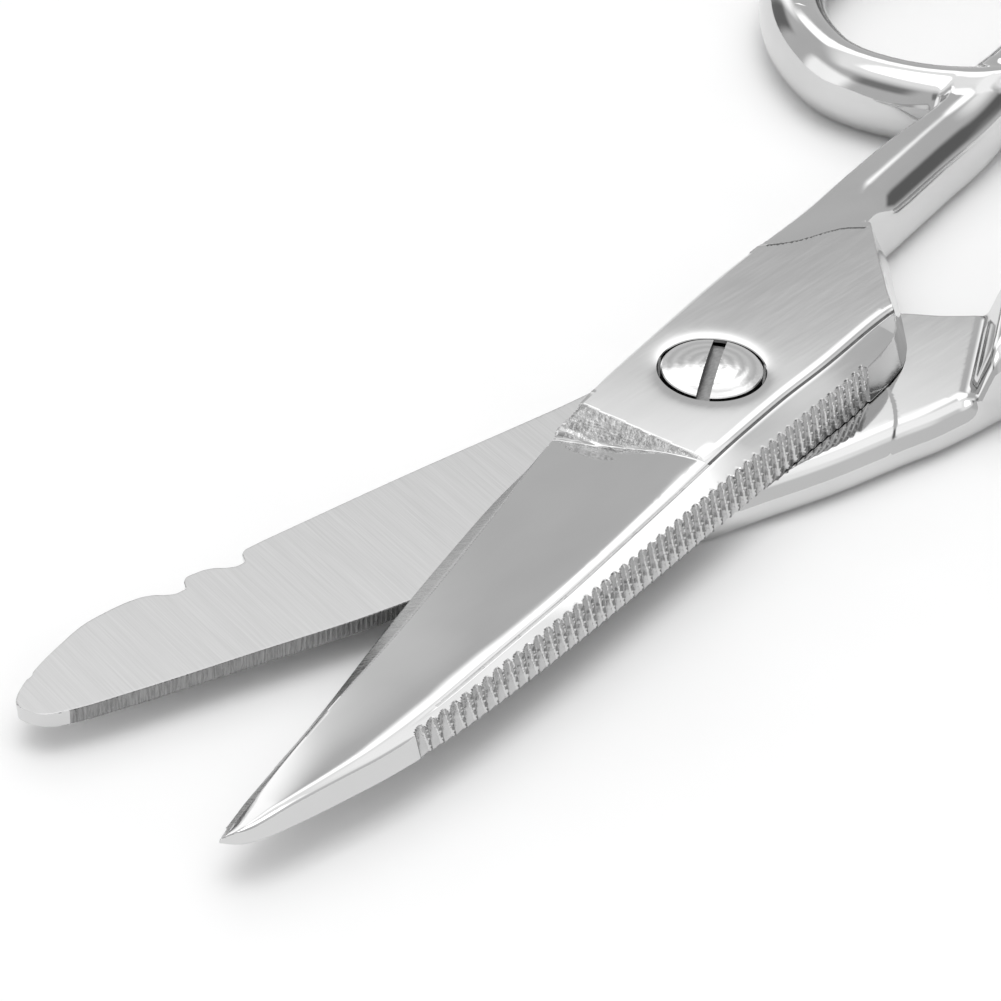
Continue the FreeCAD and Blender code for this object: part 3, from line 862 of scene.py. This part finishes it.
def build_upper():
    row = FLUTE_PITCH / ROWS_PER_FLUTE    # a flute's sharp sides fall mid-way between rows
    first, last = FLUTE_FIRST - row / 2, FLUTE_LAST + row / 2
    ys = stations((-HANDLE_END, -44, 0.42), (-44, -28, 0.34), (-28, first, 0.16), (first, last, row),
                  (last, 54, 0.20), (54, 56.7, 0.09))

    def top_x(y):
        return U_SPINE(y) + U_LEAN(y) * U_WALL(y)

    deep_x = shift(top_x, 0.52)           # the deepest that a flute cuts

    def crease(y):
        return np.maximum(U_RIDGE(y) - 0.42, deep_x(y) + 0.1)

    def ridge(y):
        return np.maximum(U_RIDGE(y), crease(y) + 0.3)

    def edge(y):
        return np.where(y < 9.0, U_OUT(y), U_EDGE(y))

    def bevel(y):
        return np.minimum(U_BEVEL(y), edge(y) - 0.2)

    places = [(shift(U_SPINE, -0.6), -0.6), (U_SPINE, 0.3), (top_x, 2.2), (deep_x, 3.7), (crease, 4.8),
              (ridge, 6.2), (bevel, 18.0), (edge, 24.0), (shift(U_EDGE, 0.7), 29.4)]
    knots = [blend_lines(line, other, 27.0, BOW_ROWS) for line, other in places]
    X = columns(ys, knots, (2, 4, 5, 3, 5, 13, 4, 2))
    obj = forging("upper_forging", upper_field, X, ys,
                  rows_in_height(-0.12, 3.14, 6.62, 11, 22, (0.3, 0.25)))

    def crisp(x, y, z):
        near_crease = (np.abs(U_CREASE(x) - y) < 1.0) & (x < 6.0)
        near_rim = np.abs(np.hypot(x, y) - RECESS_RADIUS - 0.4) < 0.75
        return (z > 5.8) & (near_crease | near_rim)

    refine(obj, upper_field, crisp, cuts=2)
    seat, mouth = UPPER_TOP - HEAD_RECESS, UPPER_TOP + CUTTER_OVER
    cutter = bm_object("cutter", lathe([
        (0, 2.0), (BORE_RADIUS, 2.0), (BORE_RADIUS, seat), (RECESS_RADIUS, seat),
        (RECESS_RADIUS, UPPER_TOP - RIM_CHAMFER_DEPTH), (RECESS_RADIUS + RIM_CHAMFER, mouth), (0, mouth)],
        BORE_SIDES))
    cut_with(obj, cutter)
    return finish_forging(obj, upper_field, upper_finishes, UPPER_FINISHES, HALF_OPENING)


def build_lower():
    ys = stations((-HANDLE_END, -44, 0.42), (-44, -28, 0.34), (-28, -12, 0.13), (-12, 12, 0.22),
                  (12, 34.6, 0.24), (34.6, 44.6, 0.10), (44.6, 53.4, 0.2), (53.4, 56.8, 0.085))

    def ridge(y):
        return np.minimum(L_RIDGE(y), L_BACK(y) - 0.5)

    places = [(shift(L_LEFT, -0.5), -29.4), (L_LEFT, -24.0), (shift(L_LEFT, 1.0), -18.0), (ridge, -6.2),
              (L_BACK, -0.3), (shift(L_BACK, 0.6), 0.8)]
    knots = [blend_lines(line, other, 24.0, BOW_ROWS) for line, other in places]
    X = columns(ys, knots, (2, 8, 26, 10, 3))
    obj = forging("lower_forging", lower_field, X, ys,
                  rows_in_height(-0.12, 3.30, 6.60, 21, 11, (0.25, 0.3)))

    def crisp(x, y, z):
        near_shoulder = (np.abs(half_plane(x, y, *L_SHOULDER)) < 1.5) & (y < -10)
        near_boss = (np.abs(np.hypot(x, y) - BOSS_RADIUS - 0.1) < 0.4) & (y < 2) & (x < 0)
        return (z > 2.9) & (near_shoulder | near_boss)

    refine(obj, lower_field, crisp, cuts=1)
    cutter = bm_object("cutter", lathe([
        (0, -CUTTER_OVER), (RECESS_RADIUS + RIM_CHAMFER, -CUTTER_OVER), (RECESS_RADIUS, RIM_CHAMFER_DEPTH),
        (RECESS_RADIUS, NUT_RECESS), (THREAD_RADIUS, NUT_RECESS), (THREAD_RADIUS, 4.2), (0, 4.2)],
        BORE_SIDES))
    cut_with(obj, cutter)
    return finish_forging(obj, lower_field, lower_finishes, LOWER_FINISHES, -HALF_OPENING)


upper = build_upper()
lower = build_lower()
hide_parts("upper_half")
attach(upper, "moving_half")
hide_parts("lower_half")
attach(lower, "fixed_half")


# -------- micro-serrated edge of the lower blade
TOOTH_PITCH, TOOTH_REACH = 0.37, 0.075
TEETH_FROM, TEETH_TO = 12.4, 53.6


def build_teeth():
    """A zigzag strip let into the cutting edge: each row of points is one section across it."""
    bm = bmesh.new()
    y = TEETH_FROM
    rows = []
    while y < TEETH_TO:
        for part, out in ((0.0, 0.0), (0.5, 1.0)):    # root, then crest
            at = y + part * TOOTH_PITCH
            x = float(L_LEFT(at))
            root = x + 0.30                           # buried in the blade
            face = x + (0.03 - TOOTH_REACH * out)
            low = LOWER_FACE - L_EDGE_WALL
            rows.append([bm.verts.new(p) for p in (
                (root, at, LOWER_FACE - 0.015), (face + 0.02, at, LOWER_FACE - 0.012),
                (face, at, LOWER_FACE - 0.06), (face, at, low + 0.12), (root, at, low + 0.02))])
        y += TOOTH_PITCH
    for a, b in zip(rows[:-1], rows[1:]):
        for i in range(5):
            j = (i + 1) % 5
            bm.faces.new((a[i], a[j], b[j], b[i]))
    bm.faces.new(rows[0])
    bm.faces.new(rows[-1][::-1])
    bmesh.ops.recalc_face_normals(bm, faces=bm.faces)
    bmesh.ops.rotate(bm, verts=bm.verts, matrix=Matrix.Rotation(-HALF_OPENING, 3, "Z"))
    bmesh.ops.scale(bm, verts=bm.verts, vec=(MM, MM, MM))
    obj = bm_object("edge_teeth", bm)
    # the strip takes the serrated edge's material, which is partly painted shade
    obj.data.materials.append(SERRATION_AND_SHADE)
    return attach(obj, "fixed_half")


build_teeth()


# -------- screw, washer and nut
HEAD_RADIUS = 3.60
HEAD_EDGE_Z = UPPER_TOP + 0.06        # where the dome starts
HEAD_TOP_Z = 6.90
DOME_RADIUS = HEAD_RADIUS * 0.97
DOME_RING_DEPTH = 0.012
HEAD_SEAT_Z = UPPER_TOP - HEAD_RECESS + 0.03 + 0.30   # above the washer and its play
SHANK_RADIUS = 2.5
THREAD_CREST, THREAD_ROOT, THREAD_PITCH = 2.0, 1.86, 0.4
SLOT_WIDTH, SLOT_DEPTH, SLOT_ANGLE = 0.95, 0.95, math.radians(120.0)


def dome_profile(rings=26):
    """Half profile of the turned dome, with shallow tool rings."""
    out = []
    for i in range(rings + 1):
        r = DOME_RADIUS * i / rings
        height = HEAD_TOP_Z - (HEAD_TOP_Z - HEAD_EDGE_Z) * (r / DOME_RADIUS) ** 2
        if i % 2:
            height -= DOME_RING_DEPTH
        out.append((r, height))
    return out


def build_screw():
    side = HEAD_RADIUS - 0.03
    profile = dome_profile() + [(side, HEAD_EDGE_Z - 0.07), (side, HEAD_SEAT_Z),
                                (SHANK_RADIUS, HEAD_SEAT_Z), (SHANK_RADIUS, UPPER_FACE)]
    z = UPPER_FACE - 0.1
    while z > 0.35:
        profile += [(THREAD_CREST, z), (THREAD_ROOT, z - THREAD_PITCH / 2)]
        z -= THREAD_PITCH
    profile += [(1.7, 0.12), (0, 0.12)]
    screw = bm_object("pivot_screw_turned", lathe(profile, 160))
    bm = bmesh.new()
    bmesh.ops.create_cube(bm, size=1.0)
    bmesh.ops.scale(bm, verts=bm.verts, vec=(12, SLOT_WIDTH, 2.0))
    bmesh.ops.translate(bm, verts=bm.verts, vec=(0, 0, HEAD_TOP_Z - SLOT_DEPTH + 1.0))
    bmesh.ops.rotate(bm, verts=bm.verts, matrix=Matrix.Rotation(SLOT_ANGLE, 3, "Z"))
    cut_with(screw, bm_object("cutter", bm))
    mesh = screw.data
    mesh.materials.clear()
    finishes = (SCREW, SLOT_SHADE, SLOT_AND_GAP_SHADE)
    for finish in finishes:
        mesh.materials.append(finish)
    across = Vector((-math.sin(SLOT_ANGLE), math.cos(SLOT_ANGLE), 0))
    for f in mesh.polygons:
        between = abs(f.center.dot(across)) < SLOT_WIDTH / 2 + 0.01
        in_slot = between and f.center.z > HEAD_TOP_Z - SLOT_DEPTH - 0.02
        # the slot and the gap round the head are painted as shade
        in_gap = abs(f.normal.z) < 0.3 and f.center.xy.length > HEAD_RADIUS - 0.1
        if in_slot:
            finish = SLOT_AND_GAP_SHADE if abs(f.normal.z) < 0.5 else SLOT_SHADE
        else:
            finish = SLOT_AND_GAP_SHADE if in_gap else SCREW
        f.material_index = finishes.index(finish)
        f.use_smooth = True
    mesh.transform(Matrix.Scale(MM, 4))
    mesh.set_sharp_from_angle(angle=math.radians(28))
    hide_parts("pivot_screw")
    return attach(screw, "fixed_half")


NUT_SIDES = 72
NUT_HOLE = 1.98
NUT_CHAMFER, NUT_CHAMFER_HEIGHT = 0.30, 0.18


def build_nut():
    """A hexagon nut, chamfered both ways, as one closed loop of rings."""
    lo, hi = (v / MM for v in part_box("lock_nut"))
    flats = min(hi.x - lo.x, hi.y - lo.y)
    corner = flats / 2 / math.cos(math.pi / 6)
    bm = bmesh.new()

    def ring(radius, z):
        angles = [2 * math.pi * i / NUT_SIDES for i in range(NUT_SIDES)]
        return [bm.verts.new((radius(a) * math.cos(a), radius(a) * math.sin(a), z)) for a in angles]

    def hexagon(inset):
        def radius(a):
            edge = flats / 2 / math.cos((a + math.pi / 6) % (math.pi / 3) - math.pi / 6)
            return min(edge, corner - inset)
        return radius

    rings = [ring(hexagon(inset), z) for inset, z in (
        (NUT_CHAMFER, lo.z), (0.0, lo.z + NUT_CHAMFER_HEIGHT),
        (0.0, hi.z - NUT_CHAMFER_HEIGHT), (NUT_CHAMFER, hi.z))]
    hole = [ring(lambda a: NUT_HOLE, z) for z in (hi.z, lo.z)]
    loop = rings + hole + [rings[0]]
    for a, b in zip(loop[:-1], loop[1:]):
        for i in range(NUT_SIDES):
            j = (i + 1) % NUT_SIDES
            bm.faces.new((a[i], a[j], b[j], b[i]))
    bmesh.ops.recalc_face_normals(bm, faces=bm.faces)
    bmesh.ops.scale(bm, verts=bm.verts, vec=(MM, MM, MM))
    nut = bm_object("lock_nut_faced", bm)
    nut.data.materials.append(NUT)
    for f in nut.data.polygons:
        f.use_smooth = True
    nut.data.set_sharp_from_angle(angle=math.radians(20))
    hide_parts("lock_nut")
    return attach(nut, "fixed_half")


build_screw()
build_nut()
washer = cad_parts["spring_washer"]
washer.data.materials.clear()
washer.data.materials.append(SPRING)


# -------- floor, light and camera
def build_floor():
    bm = bmesh.new()
    bmesh.ops.create_grid(bm, x_segments=2, y_segments=2, size=1.5)
    floor = bm_object("floor", bm)
    floor.location.z = -0.00005
    n = Nodes("pale_floor")
    grain = n.noise((60, 60, 60), 2.0)
    shader = n.add("BsdfPrincipled", {"Base Color": n.grey(grain, 0.90, 0.92), "Roughness": 0.9})
    n.tree.links.new(shader.outputs[0], n.out.inputs["Surface"])
    floor.data.materials.append(n.mat)


def direction(azimuth, elevation):
    a, e = math.radians(azimuth), math.radians(elevation)
    return Vector((math.cos(a) * math.cos(e), math.sin(a) * math.cos(e), math.sin(e)))


SKY_LEVEL = 0.62
PANELS = (                            # azimuth, elevation, half width, half height, soft edge, level
    (0.0, 90.0, 36.0, 36.0, 18.0, 1.15),
    (0.0, 90.0, 17.0, 17.0, 10.0, 3.2),
    (-155.0, 15.0, 26.0, 34.0, 16.0, 0.76),
    (-88.0, 54.0, 13.0, 9.0, 9.0, 1.35),
    (-42.0, 44.9, 17.0, 8.9, 4.5, 1.75),
    (-22.5, 14.0, 7.0, 19.0, 10.0, 1.5),
    (52.0, 14.0, 22.0, 17.0, 12.0, 1.35),
    (92.0, 37.0, 14.0, 9.0, 10.0, 0.25),
    (-4.0, 9.0, 9.0, 13.0, 8.0, 0.18),
    (-113.0, 22.0, 11.0, 14.0, 10.0, 0.15),
)


def build_world():
    """A grey studio with bright and dark panels, each a soft-edged rectangle of the sky."""
    world = bpy.data.worlds.new("studio")
    bpy.context.scene.world = world
    world.use_nodes = True
    tree = world.node_tree
    tree.nodes.clear()

    def node(kind, *inputs, **settings):
        made = tree.nodes.new("ShaderNode" + kind)
        for key, value in settings.items():
            setattr(made, key, value)
        for i, value in enumerate(inputs):
            if isinstance(value, bpy.types.NodeSocket):
                tree.links.new(value, made.inputs[i])
            elif value is not None:
                made.inputs[i].default_value = value
        return made

    def along(axis):
        return node("VectorMath", sight, axis, operation="DOT_PRODUCT").outputs["Value"]

    def inside(side, depth, half, soft):
        """1 within half of the panel's middle line, and 0 beyond its soft edge."""
        angle = node("Math", side, depth, operation="ARCTAN2").outputs[0]
        angle = node("Math", angle, operation="ABSOLUTE").outputs[0]
        near, far = math.radians(half - soft / 2), math.radians(half + soft / 2)
        return node("MapRange", angle, near, far, 1.0, 0.0, interpolation_type="SMOOTHSTEP").outputs[0]

    sight = node("TexCoord").outputs["Generated"]
    level = None
    for azimuth, elevation, half_wide, half_high, soft, value in PANELS:
        middle = direction(azimuth, elevation)
        wide = direction(azimuth + 90.0, 0.0)
        depth = along(middle)
        in_width = inside(along(wide), depth, half_wide, soft)
        in_height = inside(along(middle.cross(wide)), depth, half_high, soft)
        share = node("Math", in_width, in_height, operation="MULTIPLY").outputs[0]
        mix = node("Mix", share, None, SKY_LEVEL, value, data_type="FLOAT")
        if level is not None:
            tree.links.new(level, mix.inputs[2])
        level = mix.outputs[0]
    back = node("Background", level)
    tree.links.new(back.outputs[0], node("OutputWorld").inputs[0])


CAMERA_PLACE = (-0.1404, 0.1804, 0.1655)
CAMERA_HEADING, CAMERA_TILT, CAMERA_ROLL = -48.5, -36.863, math.radians(-1.846)
CAMERA_LENS, SENSOR_WIDTH = 143.86, 36.0


def build_camera():
    """Looks down at the joint from the blade side, a little rolled."""
    look = direction(CAMERA_HEADING, CAMERA_TILT)
    right = look.cross(Vector((0, 0, 1))).normalized()
    down = look.cross(right)
    c, s = math.cos(CAMERA_ROLL), math.sin(CAMERA_ROLL)
    right, down = right * c + down * s, down * c - right * s
    camera = bpy.data.objects.new("camera", bpy.data.cameras.new("camera"))
    bpy.context.scene.collection.objects.link(camera)
    camera.data.lens, camera.data.sensor_width = CAMERA_LENS, SENSOR_WIDTH
    camera.data.clip_start, camera.data.clip_end = 0.01, 10.0
    place = Vector(CAMERA_PLACE)
    camera.matrix_world = Matrix((
        (right.x, -down.x, -look.x, place.x), (right.y, -down.y, -look.y, place.y),
        (right.z, -down.z, -look.z, place.z), (0, 0, 0, 1)))
    bpy.context.scene.camera = camera


build_floor()
build_world()
build_camera()
bpy.context.scene.view_settings.view_transform = "Standard"
